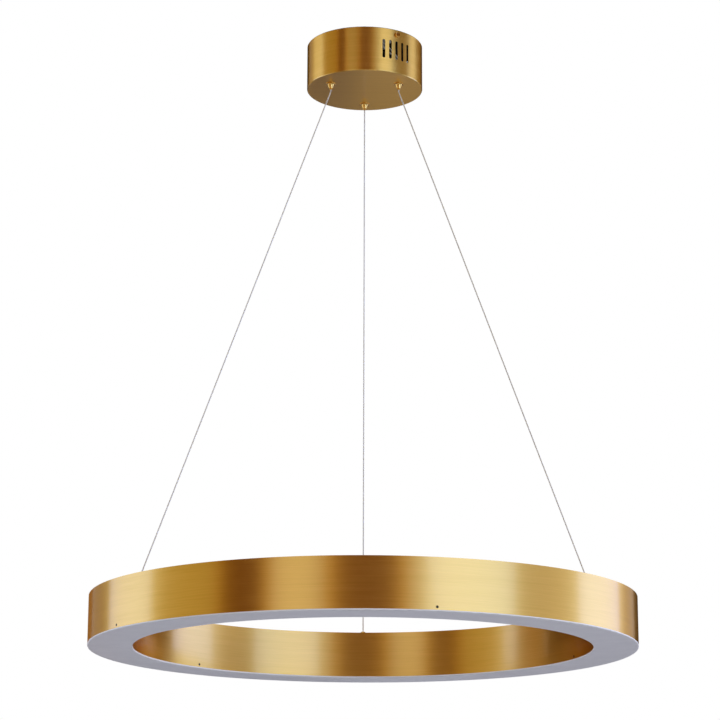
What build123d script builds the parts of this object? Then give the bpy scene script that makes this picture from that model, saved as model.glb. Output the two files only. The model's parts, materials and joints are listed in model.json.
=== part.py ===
from build123d import *
import os
from math import asin, atan2, cos, degrees, hypot, radians, sin, tan

# LED ring chandelier, in millimetres. z = 0 is the ceiling and the front is -Y.
# An azimuth is an angle in degrees from the front towards +X. A repeated piece is drawn at the
# origin or at azimuth 0, on the -Y side, and then set out on its circle about the lamp's axis.

# Ring housing: two rolled bands closed by a top plate, open underneath. The anchors, posts and
# strips keep to one circle, which lies this inset in from the outer band's face.
ring_outer_radius = 400.0
ring_width = 65.0
ring_height = 70.0
fixing_inset = 41.0
band_wall = 1.0
top_plate_wall = 1.0
top_rim_depth = 8.0
top_rim_gap = 0.1

# Canopy: a spun cup that two thumb screws hold on the ceiling bracket
canopy_radius = 89.0
canopy_height = 70.0
canopy_wall = 1.0
canopy_edge_radius = 1.5
ceiling_gap = 0.5

# The ring's top plate hangs this far below the canopy, on three wires
suspension_drop = 794.0
wire_sides = ("left", "right", "back")
current_sides = ("left", "back")
first_wire_azimuth = -60.0
wire_radius = 1.0
wire_play = 0.3
wire_bend_run = 3.0
wire_tail = 6.0

# Thumb screws, and a group of upright vents in the canopy's wall under each of them
thumb_azimuth = 33.0
thumb_depth = 8.4
thumb_shank_radius = 2.0
thumb_shank_length = 12.0
thumb_head_radius = 4.0
thumb_head_length = 4.0
thumb_head_chamfer = 0.4
vent_count = 5
vent_pitch = 7.0
vent_width = 4.6
vent_length = 30.0
vent_height = 36.9

# Fits
running_gap = 0.05
clearance_gap = 0.2
through = 1.0

# Ceiling bracket
strap_width = 22.0
strap_thickness = 1.5
ear_width = 14.0
ear_length = 14.0
ear_gap = 0.8
ear_bend_radius = 2.0
ceiling_screw_circle = 134.0
ceiling_screw_hole = 2.6

# Terminal block under the strap
block_circle = 44.0
block_width = 20.0
block_base = 7.0
pole_count = 3
pole_pitch = 9.0
tower_radius = 3.4
tower_height = 6.0
tower_spacing = 9.0
terminal_screw_radius = 1.9
terminal_screw_length = 3.0
terminal_well_depth = 4.5
wire_entry_depth = 5.0
block_screw_radius = 1.5
block_screw_head_radius = 2.7
block_screw_head_height = 1.8
thread_end_gap = 0.2

# Earth connections on the strap and on the canopy's floor
earth_screw_radius = 2.0
earth_head_radius = 3.8
earth_head_height = 2.4
earth_screw_circle = 38.0
earth_stud_azimuth = 140.0
earth_stud_circle = 62.0
earth_stud_height = 12.0
earth_nut_width = 7.0
earth_nut_height = 3.2

# LED driver, taped to the canopy's floor
driver_length = 110.0
driver_width = 32.0
driver_height = 20.0
driver_lid_height = 1.5
driver_lid_chamfer = 0.5
driver_corner = 2.0
driver_offset = 8.0
tape_thickness = 0.8
tape_margin = 6.0

# Leads and their lugs
lead_radius = 1.1
lug_thickness = 0.8
lug_rim = 2.4
lug_barrel_length = 8.0
dc_lug_directions = {"left": 128.0, "back": 180.0}
earth_lug_directions = {"strap": 20.0, "floor": 200.0}
lead_run_out = 11.0

# The routes that the leads take inside the canopy, chosen by hand: beside its wall as azimuths and
# levels, elsewhere as points
live_wall_gap = 7.5
live_end = 3.0
live_route = ((12.0, -15.0), (27.0, -26.0), (43.0, -45.0), (62.0, -55.5), (88.0, -58.5))
neutral_wall_gap = 8.5
neutral_end = -3.5
neutral_route = ((4.0, -15.0), (20.0, -25.5), (36.0, -41.5), (53.0, -57.0), (69.0, -61.5), (86.0, -61.0))
dc_ends = {"left": -6.0, "back": 6.0}
dc_routes = {"left": [], "back": [(-73.0, 27.0, -61.0), (-65.0, 43.0, -65.0), (-45.0, 57.0, -67.0)]}
earth_route = [(12.0, 43.0, -14.0), (15.0, 45.0, -40.0), (11.0, 42.0, -62.0)]

# Wire grippers: a flared cone under the canopy, a threaded shank through it, a sprung plunger inside
gripper_circle = 60.0
gripper_shank_radius = 5.0
gripper_shank_length = 18.0
gripper_flange_radius = 7.6
gripper_flange_height = 1.0
gripper_cone_radius = 5.4
gripper_cone_tip_radius = 2.9
gripper_cone_height = 6.6
gripper_flare_radius = 2.4
gripper_nut_width = 14.0
gripper_nut_height = 3.0
plunger_wall = 0.9
plunger_reach = 2.2
plunger_tip_round = 0.3
plunger_head_wall = 1.7
plunger_head_height = 2.0
chamber_floor = 2.0
spring_length = 9.0
spring_wall = 0.6

# Anchors where the wires enter the ring, and the ferrules on the wires' ends
anchor_flange_radius = 6.0
anchor_flange_height = 1.5
anchor_cone_height = 3.0
anchor_tip_wall = 1.2
anchor_shank_radius = 3.0
anchor_shank_end = 1.2
anchor_nut_width = 10.0
anchor_nut_height = 2.5
ferrule_radius = 2.4
ferrule_length = 8.0
ferrule_gap = 0.75
ferrule_chamfer = 0.4

# LED tray on posts under the top plate, with two LED strips on its underside
tray_height = 28.0
tray_thickness = 1.5
tray_edge_gap = 5.0
post_count = 6
post_width = 5.5
post_bore_depth = 8.0
tray_screw_radius = 1.5
tray_screw_head_radius = 2.75
tray_screw_head_height = 1.8
tray_screw_grip = 6.0
strip_width = 10.0
strip_thickness = 0.3
strip_spacing = 25.0
strip_end_gap = 12.0
strip_end_azimuth = 90.0
chip_count = 72
chip_length = 3.5
chip_width = 2.8
chip_height = 0.8
ring_lead_radius = 0.9
ring_lead_spacing = 2.6
ring_lead_run = 8.0
ring_lead_bend = 3.0
ring_lead_hole_gap = 1.2

# Opal diffuser that closes the ring, screwed through both bands
diffuser_thickness = 2.2
diffuser_edge_radius = 1.0
lip_height = 12.0
lip_thickness = 2.1
lip_gap = 0.3
diffuser_screw_height = 4.0
diffuser_screw_length = 5.0
diffuser_screw_radius = 1.0
diffuser_screw_head_radius = 1.9
diffuser_screw_head_depth = 0.8
outer_screw_count = 5
outer_screw_azimuth = 14.0
inner_screw_count = 3
inner_screw_azimuth = -11.0

# Levels and places that follow from the sizes above
wire_azimuths = {side: first_wire_azimuth + i * 360.0 / len(wire_sides) for i, side in enumerate(wire_sides)}
thumb_azimuths = {"front": thumb_azimuth, "back": thumb_azimuth + 180.0}
canopy_bottom = -canopy_height
canopy_floor = canopy_bottom + canopy_wall
canopy_inner_radius = canopy_radius - canopy_wall
strap_underside = -strap_thickness
block_base_bottom = strap_underside - block_base
tower_bottom = block_base_bottom - tower_height
wire_entry_level = block_base_bottom + block_base / 2
pole_places = [-block_circle + (i - (pole_count - 1) / 2) * pole_pitch for i in range(pole_count)]
block_screw_circle = block_circle - pole_pitch / 2
driver_bottom = canopy_floor + tape_thickness
driver_top = driver_bottom + driver_height
driver_lead_level = driver_bottom + driver_height / 2
wire_bore = wire_radius + wire_play
plunger_radius = wire_bore + plunger_wall
plunger_head_radius = wire_bore + plunger_head_wall
gripper_top = canopy_bottom + gripper_shank_length
gripper_tip = canopy_bottom - gripper_flange_height - gripper_cone_height
plunger_tip = gripper_tip - plunger_reach
chamber_bottom = canopy_bottom - chamber_floor
spring_bottom = chamber_bottom + plunger_head_height
spring_top = spring_bottom + spring_length
ring_top = canopy_bottom - suspension_drop
ring_bottom = ring_top - ring_height
ring_inner_radius = ring_outer_radius - ring_width
fixing_circle = ring_outer_radius - fixing_inset
plate_underside = ring_top - top_plate_wall
anchor_tip = ring_top + anchor_flange_height + anchor_cone_height
anchor_nut_top = plate_underside - lug_thickness
anchor_bottom = anchor_nut_top - anchor_nut_height - anchor_shank_end
wire_bottom = anchor_bottom - ferrule_gap
tray_underside = ring_bottom + tray_height
tray_top = tray_underside + tray_thickness
strip_underside = tray_underside - strip_thickness
strip_circles = {"outer": fixing_circle + strip_spacing / 2, "inner": fixing_circle - strip_spacing / 2}
diffuser_screw_level = ring_bottom + diffuser_screw_height


def turn(shape, azimuth):
    return shape.rotate(Axis.Z, azimuth)


def set_out(shape, circle, azimuth=0.0):
    # a shape drawn about the lamp's axis goes out to its circle at the front and then round to its azimuth
    return turn(Pos(0, -circle, 0) * shape, azimuth)


def on_azimuth(radius, azimuth, z=0.0):
    a = radians(azimuth)
    return (radius * sin(a), -radius * cos(a), z)


def evenly(count, first=0.0):
    return [first + i * 360.0 / count for i in range(count)]


def profile(*points):
    return make_face(Plane.XZ * Polyline(*points, close=True))


def turned(face):
    return revolve(face, axis=Axis.Z)


def round_corner(face, x, z, radius):
    return fillet(face.vertices().sort_by_distance((x, 0, z))[0], radius)


def band(inner, outer, bottom, top):
    return turned(profile((inner, bottom), (outer, bottom), (outer, top), (inner, top)))


def rod(radius, bottom, top):
    return Pos(0, 0, bottom) * Cylinder(radius, top - bottom, align=(Align.CENTER, Align.CENTER, Align.MIN))


def hexagon(width, bottom, top):
    return Pos(0, 0, bottom) * extrude(RegularPolygon(width / 2, 6, major_radius=False), top - bottom)


def nut(width, bottom, height, thread_radius):
    bore = rod(thread_radius + running_gap, bottom - through, bottom + height + through)
    return hexagon(width, bottom, bottom + height) - bore


def block(size_x, size_y, bottom, top):
    return Pos(0, 0, (bottom + top) / 2) * Box(size_x, size_y, top - bottom)


def radial_rod(radius, start, end, z):
    # a rod at azimuth 0, from start out to end
    return extrude(Plane(origin=(0, -start, z), z_dir=(0, -1, 0)) * Circle(radius), end - start)


def tube(points, radius, bend=None):
    # straight runs joined by arcs; with no given bend each arc is as large as its two runs allow
    corners = [Vector(*point) for point in points]
    bends = []
    for a, b, c in zip(corners, corners[1:], corners[2:]):
        half_turn = radians((b - a).get_angle(c - b)) / 2
        bends.append(bend or 0.45 * min((b - a).length, (c - b).length) / tan(half_turn))
    route = FilletPolyline(*points, radius=bends)
    print(f"tube {2 * radius:.1f} mm thick, {route.length:.1f} long, bends {[round(x, 1) for x in bends]}")
    return sweep(Plane(origin=route @ 0, z_dir=route % 0) * Circle(radius), path=route)


# Bracket and canopy

def ceiling_bracket():
    # a flat strap with an ear bent down at each end; negative circles lie on its back half
    reach = canopy_inner_radius - ear_gap
    strap = block(strap_width, 2 * (reach - ear_length), strap_underside, 0)
    strap += block(ear_width, 2 * reach, strap_underside, 0)
    for side in (-1, 1):
        ear = block(ear_width, strap_thickness, -ear_length, 0)
        strap += set_out(ear, side * (reach - strap_thickness / 2))
    bends = strap.edges().filter_by(Axis.X).group_by(Axis.Z)[-1].sort_by(Axis.Y)
    strap = fillet([bends[0], bends[-1]], ear_bend_radius)
    holes = [(ceiling_screw_hole, ceiling_screw_circle / 2), (ceiling_screw_hole, -ceiling_screw_circle / 2),
             (earth_screw_radius + running_gap, -earth_screw_circle),
             (block_screw_radius + running_gap, block_screw_circle)]
    cuts = [set_out(rod(radius, strap_underside - through, through), circle) for radius, circle in holes]
    cuts.append(radial_rod(thumb_shank_radius + running_gap, -canopy_radius, canopy_radius, -thumb_depth))
    return turn(strap - cuts, thumb_azimuth)


def vents(azimuth):
    side = Plane(origin=(0, -canopy_radius, canopy_bottom + vent_height), x_dir=(0, 0, 1), z_dir=(0, -1, 0))
    slot = extrude(side * SlotOverall(vent_length, vent_width), 3 * canopy_wall, both=True)
    first = azimuth - (vent_count - 1) / 2 * vent_pitch
    return [turn(slot, first + i * vent_pitch) for i in range(vent_count)]


def canopy_cover():
    wall = profile(
        (0, canopy_bottom), (canopy_radius, canopy_bottom), (canopy_radius, -ceiling_gap),
        (canopy_inner_radius, -ceiling_gap), (canopy_inner_radius, canopy_floor), (0, canopy_floor))
    wall = round_corner(wall, canopy_radius, canopy_bottom, canopy_edge_radius)
    wall = round_corner(wall, canopy_inner_radius, canopy_floor, canopy_edge_radius / 2)
    gripper_hole = rod(gripper_shank_radius + clearance_gap, canopy_bottom - through, canopy_floor + through)
    stud_hole = rod(earth_screw_radius + running_gap, canopy_floor - canopy_wall / 2, canopy_floor + through)
    side_hole = radial_rod(thumb_shank_radius + clearance_gap, canopy_inner_radius - through,
                           canopy_radius + through, -thumb_depth)
    cuts = [set_out(gripper_hole, gripper_circle, azimuth) for azimuth in wire_azimuths.values()]
    cuts.append(set_out(stud_hole, earth_stud_circle, earth_stud_azimuth))
    for azimuth in thumb_azimuths.values():
        cuts.append(turn(side_hole, azimuth))
        cuts += vents(azimuth)
    return turned(wall) - cuts


def thumb_screw(azimuth):
    head = radial_rod(thumb_head_radius, canopy_radius, canopy_radius + thumb_head_length, -thumb_depth)
    head = chamfer(head.edges().filter_by(GeomType.CIRCLE), thumb_head_chamfer)
    shank = radial_rod(thumb_shank_radius, canopy_radius - thumb_shank_length, canopy_radius, -thumb_depth)
    return turn(head + shank, azimuth)


# Mains and earth connections

def tower_places():
    return [Pos(side * tower_spacing / 2, y, 0) for y in pole_places for side in (-1, 1)]


def mains_terminal_block():
    body = Pos(0, -block_circle, 0) * block(block_width, pole_count * pole_pitch, block_base_bottom,
                                            strap_underside)
    for place in tower_places():
        body += place * rod(tower_radius, tower_bottom, block_base_bottom + through)
    well = rod(terminal_screw_radius + running_gap, tower_bottom, tower_bottom + terminal_well_depth)
    cuts = [place * well for place in tower_places()]
    for y in pole_places:
        for side in (-1, 1):
            mouth = Plane(origin=(side * block_width / 2, y, wire_entry_level), z_dir=(-side, 0, 0))
            cuts.append(extrude(mouth * Circle(lead_radius + wire_play), wire_entry_depth))
    cuts.append(set_out(rod(block_screw_radius + running_gap, tower_bottom, 0), block_screw_circle))
    return turn(body - cuts, thumb_azimuth)


def terminal_screws():
    top = tower_bottom + terminal_well_depth
    screw = rod(terminal_screw_radius, top - terminal_screw_length, top)
    return turn(Compound([place * screw for place in tower_places()]), thumb_azimuth)


def block_screw():
    screw = rod(block_screw_head_radius, block_base_bottom - block_screw_head_height, block_base_bottom)
    screw += rod(block_screw_radius, block_base_bottom, -thread_end_gap)
    return set_out(screw, block_screw_circle, thumb_azimuth)


def earth_screw():
    seat = strap_underside - lug_thickness
    screw = rod(earth_head_radius, seat - earth_head_height, seat)
    screw += rod(earth_screw_radius, seat, -thread_end_gap)
    return set_out(screw, -earth_screw_circle, thumb_azimuth)


def earth_stud():
    stud = rod(earth_screw_radius, canopy_floor - canopy_wall / 2, canopy_floor + earth_stud_height)
    return set_out(stud, earth_stud_circle, earth_stud_azimuth)


def earth_nut():
    one = nut(earth_nut_width, canopy_floor + lug_thickness, earth_nut_height, earth_screw_radius)
    return set_out(one, earth_stud_circle, earth_stud_azimuth)


def lug(hole_radius, seat, side):
    # a ring lug about the origin with its barrel along +X, on top of its seat (side 1) or under it (side -1)
    ring_radius = hole_radius + lug_rim
    low, high = sorted((seat, seat + side * lug_thickness))
    flat = rod(ring_radius, low, high)
    flat += Pos(ring_radius, 0, 0) * block(2 * lug_rim, 2 * lead_radius, low, high)
    mouth = Plane(origin=(ring_radius + lug_rim, 0, seat + side * lead_radius), z_dir=(1, 0, 0))
    flat += extrude(mouth * Circle(lead_radius), lug_barrel_length)
    return flat - rod(hole_radius, low - through, high + through)


def lug_reach(hole_radius):
    return hole_radius + 2 * lug_rim + lug_barrel_length


def along(point, direction, distance):
    a = radians(direction)
    return (point[0] + distance * cos(a), point[1] + distance * sin(a), point[2])


class Lug:
    # one ring lug on its screw: where it sits, which way its barrel points and where its lead starts
    def __init__(self, thread_radius, seat, side, place, direction):
        hole = thread_radius + running_gap
        self.direction = direction
        self.shape = Pos(place[0], place[1], 0) * Rot(0, 0, direction) * lug(hole, seat, side)
        self.end = along((place[0], place[1], seat + side * lead_radius), direction, lug_reach(hole))
        self.near = along(self.end, direction, lead_run_out)


def strap_lug():
    place = on_azimuth(-earth_screw_circle, thumb_azimuth)
    return Lug(earth_screw_radius, strap_underside, -1, place, earth_lug_directions["strap"])


def floor_lug():
    place = on_azimuth(earth_stud_circle, earth_stud_azimuth)
    return Lug(earth_screw_radius, canopy_floor, 1, place, earth_lug_directions["floor"])


def dc_lug(side):
    place = on_azimuth(gripper_circle, wire_azimuths[side])
    return Lug(gripper_shank_radius, canopy_floor, 1, place, dc_lug_directions[side])


# LED driver and the leads inside the canopy

def driver_tape():
    tape = block(driver_length - 2 * tape_margin, driver_width - tape_margin, canopy_floor, driver_bottom)
    return set_out(tape, -driver_offset)


def led_driver_case():
    case = set_out(block(driver_length, driver_width, driver_bottom, driver_top), -driver_offset)
    return fillet(case.edges().filter_by(Axis.Z), driver_corner)


def led_driver_lid():
    lid = block(driver_length, driver_width, driver_top, driver_top + driver_lid_height)
    lid = set_out(lid, -driver_offset)
    lid = fillet(lid.edges().filter_by(Axis.Z), driver_corner)
    return chamfer(lid.faces().sort_by(Axis.Z)[-1].edges(), driver_lid_chamfer)


def driver_exit(side, offset):
    # where a lead leaves the driver's left (-1) or right (1) end, and the point straight out from there
    y = driver_offset + offset
    x = side * driver_length / 2
    return [(x, y, driver_lead_level), (x + side * lead_run_out, y, driver_lead_level)]


def mains_lead(pole, wall_gap, wall_route, end_offset):
    # from a pole of the terminal block, past the front vents and round the wall to the driver's right end
    mouth = -block_width / 2
    inside = Vector(mouth + wire_entry_depth - through, pole_places[pole], wire_entry_level)
    outside = Vector(mouth - lead_run_out, pole_places[pole], wire_entry_level)
    points = [tuple(point.rotate(Axis.Z, thumb_azimuth)) for point in (inside, outside)]
    points += [on_azimuth(canopy_inner_radius - wall_gap, azimuth, z) for azimuth, z in wall_route]
    return tube(points + driver_exit(1, end_offset)[::-1], lead_radius)


def dc_lead(side):
    target = dc_lug(side)
    return tube(driver_exit(-1, dc_ends[side]) + dc_routes[side] + [target.near, target.end], lead_radius)


def earth_lead():
    upper, lower = strap_lug(), floor_lug()
    return tube([upper.end, upper.near] + earth_route + [lower.near, lower.end], lead_radius)


# Wire grippers

def gripper_body():
    guide = plunger_radius + running_gap
    chamber = plunger_head_radius + clearance_gap
    cone_top = canopy_bottom - gripper_flange_height
    half = profile(
        (wire_bore, gripper_top), (gripper_shank_radius, gripper_top), (gripper_shank_radius, canopy_bottom),
        (gripper_flange_radius, canopy_bottom), (gripper_flange_radius, cone_top),
        (gripper_cone_radius, cone_top), (gripper_cone_tip_radius, gripper_tip), (guide, gripper_tip),
        (guide, chamber_bottom), (chamber, chamber_bottom), (chamber, spring_top), (wire_bore, spring_top))
    return turned(round_corner(half, gripper_cone_radius, cone_top, gripper_flare_radius))


def gripper_plunger():
    return turned(profile(
        (wire_bore, plunger_tip), (plunger_radius - plunger_tip_round, plunger_tip),
        (plunger_radius, plunger_tip + plunger_tip_round), (plunger_radius, chamber_bottom),
        (plunger_head_radius, chamber_bottom), (plunger_head_radius, spring_bottom),
        (wire_bore, spring_bottom)))


def gripper_spring():
    # the sleeve that the coil fills, inside the closed gripper
    return band(plunger_head_radius - spring_wall, plunger_head_radius, spring_bottom, spring_top)


def gripper_nuts():
    nuts = []
    for side, azimuth in wire_azimuths.items():
        seat = canopy_floor + (lug_thickness if side in current_sides else 0.0)
        nuts.append(set_out(nut(gripper_nut_width, seat, gripper_nut_height, gripper_shank_radius),
                            gripper_circle, azimuth))
    return Compound(nuts)


# Suspension wires

def suspension_wire():
    # upright through the gripper, straight down and out to the ring, upright again through the anchor
    upper_bend = plunger_tip - wire_bend_run
    lower_bend = anchor_tip + wire_bend_run
    lean = atan2(fixing_circle - gripper_circle, upper_bend - lower_bend)
    points = [(0, -gripper_circle, gripper_top + wire_tail), (0, -gripper_circle, upper_bend),
              (0, -fixing_circle, lower_bend), (0, -fixing_circle, wire_bottom)]
    return tube(points, wire_radius, wire_bend_run / tan(lean / 2))


def wire_ferrule():
    ferrule = rod(ferrule_radius, wire_bottom - ferrule_length, wire_bottom)
    ferrule = chamfer(ferrule.edges().filter_by(GeomType.CIRCLE), ferrule_chamfer)
    return set_out(ferrule, fixing_circle)


def wire_pivot():
    # A wire swings about a point in its gripper's bore. Its axis leans so far that the anchor's circle
    # about it is as large as the ring's own: the wires and the ring then turn through the same angle.
    pivot_z = (plunger_tip + gripper_top) / 2
    anchor_z = (anchor_tip + anchor_bottom) / 2
    reach, fall = fixing_circle - gripper_circle, pivot_z - anchor_z
    lean = asin(fixing_circle / hypot(reach, fall)) - atan2(reach, fall)
    return pivot_z, lean


# Ring housing

def wall_screws(radius, wall_side, azimuths, clearance):
    # countersunk screws flush with the outer band (side 1) or the inner band (side -1); with a clearance
    # they are the seats that such screws need
    head = diffuser_screw_head_radius + 2 * clearance
    shank = diffuser_screw_radius + clearance
    end = -diffuser_screw_length - clearance
    neck = -diffuser_screw_head_depth
    screw = turned(profile((0, clearance), (head, clearance), (shank, neck), (shank, end), (0, end)))
    screw = Pos(0, -radius, diffuser_screw_level) * Rot(90 * wall_side, 0, 0) * screw
    return [turn(screw, azimuth) for azimuth in azimuths]


def outer_screws(clearance=0.0):
    return wall_screws(ring_outer_radius, 1, evenly(outer_screw_count, outer_screw_azimuth), clearance)


def inner_screws(clearance=0.0):
    return wall_screws(ring_inner_radius, -1, evenly(inner_screw_count, inner_screw_azimuth), clearance)


def ring_outer_band():
    wall = band(ring_outer_radius - band_wall, ring_outer_radius, ring_bottom, ring_top)
    return wall - outer_screws(running_gap)


def ring_inner_band():
    wall = band(ring_inner_radius, ring_inner_radius + band_wall, ring_bottom, ring_top)
    return wall - inner_screws(running_gap)


def ring_top_plate():
    outside = ring_outer_radius - band_wall - top_rim_gap
    inside = ring_inner_radius + band_wall + top_rim_gap
    rim = ring_top - top_rim_depth
    plate = turned(profile(
        (inside, ring_top), (outside, ring_top), (outside, rim), (outside - top_plate_wall, rim),
        (outside - top_plate_wall, plate_underside), (inside + top_plate_wall, plate_underside),
        (inside + top_plate_wall, rim), (inside, rim)))
    hole = rod(anchor_shank_radius + clearance_gap, plate_underside - through, ring_top + through)
    return plate - [set_out(hole, fixing_circle, azimuth) for azimuth in wire_azimuths.values()]


def at_anchors(shape, sides=wire_sides):
    return Compound([set_out(shape, fixing_circle, wire_azimuths[side]) for side in sides])


def wire_anchors():
    return at_anchors(turned(profile(
        (wire_bore, anchor_tip), (wire_bore + anchor_tip_wall, anchor_tip),
        (anchor_flange_radius, ring_top + anchor_flange_height), (anchor_flange_radius, ring_top),
        (anchor_shank_radius, ring_top), (anchor_shank_radius, anchor_bottom), (wire_bore, anchor_bottom))))


def anchor_nuts():
    return at_anchors(nut(anchor_nut_width, anchor_nut_top - anchor_nut_height, anchor_nut_height,
                          anchor_shank_radius))


def anchor_lugs():
    return at_anchors(lug(anchor_shank_radius + running_gap, plate_underside, -1), current_sides)


# LED tray and strips

def at_posts(shape):
    return [set_out(shape, fixing_circle, azimuth) for azimuth in evenly(post_count, 180.0 / post_count)]


def tray_posts():
    bore = rod(tray_screw_radius + running_gap, tray_top - through, tray_top + post_bore_depth)
    return Compound(at_posts(hexagon(post_width, tray_top, plate_underside) - bore))


def tray_screws():
    screw = rod(tray_screw_head_radius, tray_underside - tray_screw_head_height, tray_underside)
    screw += rod(tray_screw_radius, tray_underside, tray_top + tray_screw_grip)
    return Compound(at_posts(screw))


def ring_lead_start():
    return lug_reach(anchor_shank_radius + running_gap)


def led_tray():
    inside, outside = ring_inner_radius + tray_edge_gap, ring_outer_radius - tray_edge_gap
    tray = band(inside, outside, tray_underside, tray_top)
    screw_hole = rod(tray_screw_radius + clearance_gap, tray_underside - through, tray_top + through)
    lead_hole_radius = ring_lead_spacing / 2 + ring_lead_radius + ring_lead_hole_gap
    lead_hole = rod(lead_hole_radius, tray_underside - through, tray_top + through)
    lead_hole = Pos(ring_lead_start() + ring_lead_run, 0, 0) * lead_hole
    lead_holes = [set_out(lead_hole, fixing_circle, wire_azimuths[side]) for side in current_sides]
    return tray - at_posts(screw_hole) - lead_holes


def led_strip(circle):
    strip = band(circle - strip_width / 2, circle + strip_width / 2, strip_underside, tray_underside)
    end_gap = block(strip_end_gap, 2 * strip_width, strip_underside - through, tray_underside + through)
    return turn(strip - set_out(end_gap, circle), strip_end_azimuth)


def led_chips(circle):
    chip = block(chip_length, chip_width, strip_underside - chip_height, strip_underside)
    return Compound([set_out(chip, circle, azimuth) for azimuth in evenly(chip_count, 180.0 / chip_count)])


def ring_leads(side):
    # two leads run from an anchor's lug along the plate, down through the tray and under a strip's edge
    level = plate_underside - lead_radius
    under = strip_underside - ring_lead_radius
    start = ring_lead_start()
    down = start + ring_lead_run
    leads = []
    for way, strip in ((1, "inner"), (-1, "outer")):
        y = way * ring_lead_spacing / 2
        pad = fixing_circle - strip_circles[strip] - way * (strip_width / 2 - ring_lead_radius)
        points = [(start, y, level), (down, y, level), (down, y, under), (down, pad, under)]
        lead = tube(points, ring_lead_radius, ring_lead_bend)
        leads.append(set_out(lead, fixing_circle, wire_azimuths[side]))
    return Compound(leads)


# Diffuser

def diffuser():
    bottom = ring_bottom - diffuser_thickness
    lip_top = ring_bottom + lip_height
    outer_lip = ring_outer_radius - band_wall - lip_gap
    inner_lip = ring_inner_radius + band_wall + lip_gap
    cover = profile(
        (ring_inner_radius, bottom), (ring_outer_radius, bottom), (ring_outer_radius, ring_bottom),
        (outer_lip, ring_bottom), (outer_lip, lip_top), (outer_lip - lip_thickness, lip_top),
        (outer_lip - lip_thickness, ring_bottom), (inner_lip + lip_thickness, ring_bottom),
        (inner_lip + lip_thickness, lip_top), (inner_lip, lip_top), (inner_lip, ring_bottom),
        (ring_inner_radius, ring_bottom))
    for radius in (ring_inner_radius, ring_outer_radius):
        cover = round_corner(cover, radius, bottom, diffuser_edge_radius)
    return turned(cover) - outer_screws(running_gap) - inner_screws(running_gap)


def build():
    nodes = {
        "ceiling_bracket": ceiling_bracket(),
        "canopy_cover": canopy_cover(),
        "mains_terminal_block": mains_terminal_block(),
        "terminal_screws": terminal_screws(),
        "block_screw": block_screw(),
        "earth_screw": earth_screw(),
        "earth_stud": earth_stud(),
        "earth_nut": earth_nut(),
        "earth_lugs": Compound([strap_lug().shape, floor_lug().shape]),
        "earth_lead": earth_lead(),
        "mains_lead_live": mains_lead(0, live_wall_gap, live_route, live_end),
        "mains_lead_neutral": mains_lead(pole_count - 1, neutral_wall_gap, neutral_route, neutral_end),
        "driver_tape": driver_tape(),
        "led_driver_case": led_driver_case(),
        "led_driver_lid": led_driver_lid(),
        "dc_lugs": Compound([dc_lug(side).shape for side in current_sides]),
        "dc_lead_positive": dc_lead(current_sides[0]),
        "dc_lead_negative": dc_lead(current_sides[1]),
        "gripper_nuts": gripper_nuts(),
        "ring_outer_band": ring_outer_band(),
        "ring_inner_band": ring_inner_band(),
        "ring_top_plate": ring_top_plate(),
        "wire_anchors": wire_anchors(),
        "anchor_nuts": anchor_nuts(),
        "anchor_lugs": anchor_lugs(),
        "ring_leads_positive": ring_leads(current_sides[0]),
        "ring_leads_negative": ring_leads(current_sides[1]),
        "tray_posts": tray_posts(),
        "tray_screws": tray_screws(),
        "led_tray": led_tray(),
        "diffuser": diffuser(),
        "diffuser_screws_outer": Compound(outer_screws()),
        "diffuser_screws_inner": Compound(inner_screws()),
    }
    for name, azimuth in thumb_azimuths.items():
        nodes[f"thumb_screw_{name}"] = thumb_screw(azimuth)
    for name, circle in strip_circles.items():
        nodes[f"led_strip_{name}"] = led_strip(circle)
        nodes[f"led_chips_{name}"] = led_chips(circle)
    body, plunger, spring = gripper_body(), gripper_plunger(), gripper_spring()
    wire, ferrule = suspension_wire(), wire_ferrule()
    for name, azimuth in wire_azimuths.items():
        nodes[f"gripper_body_{name}"] = set_out(body, gripper_circle, azimuth)
        nodes[f"gripper_plunger_{name}"] = set_out(plunger, gripper_circle, azimuth)
        nodes[f"gripper_spring_{name}"] = set_out(spring, gripper_circle, azimuth)
        nodes[f"suspension_wire_{name}"] = turn(wire, azimuth)
        nodes[f"wire_ferrule_{name}"] = turn(ferrule, azimuth)
    return nodes


os.makedirs("parts", exist_ok=True)
for name, shape in build().items():
    shape.label = name
    export_step(shape, f"parts/{name}.step")
pivot_z, lean = wire_pivot()
print(f"a wire turns about z {pivot_z:.3f} on an axis that leans {degrees(lean):.4f} degrees")
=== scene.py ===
import json
from bisect import bisect_right
from math import cos, pi, radians, sin
import bmesh
import bpy
from mathutils import Matrix, Vector


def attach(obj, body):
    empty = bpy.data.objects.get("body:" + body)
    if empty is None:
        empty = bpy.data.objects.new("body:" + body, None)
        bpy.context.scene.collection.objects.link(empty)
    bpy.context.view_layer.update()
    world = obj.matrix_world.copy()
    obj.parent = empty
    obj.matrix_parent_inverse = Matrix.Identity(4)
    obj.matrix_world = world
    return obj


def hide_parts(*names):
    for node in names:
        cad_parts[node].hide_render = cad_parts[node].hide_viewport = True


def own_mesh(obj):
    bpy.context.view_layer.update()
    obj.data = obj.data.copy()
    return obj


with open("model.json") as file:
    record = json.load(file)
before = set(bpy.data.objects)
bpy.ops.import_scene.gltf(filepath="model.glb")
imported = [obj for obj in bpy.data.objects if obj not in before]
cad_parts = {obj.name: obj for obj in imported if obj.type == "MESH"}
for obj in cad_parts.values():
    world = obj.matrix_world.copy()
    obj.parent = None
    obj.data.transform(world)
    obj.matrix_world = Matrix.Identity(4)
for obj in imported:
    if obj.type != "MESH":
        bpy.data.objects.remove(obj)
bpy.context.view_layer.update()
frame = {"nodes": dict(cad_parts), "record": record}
cadNodes = frame["nodes"]
mm = 0.001
print("lamp loaded:", len(cadNodes), "nodes")


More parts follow.
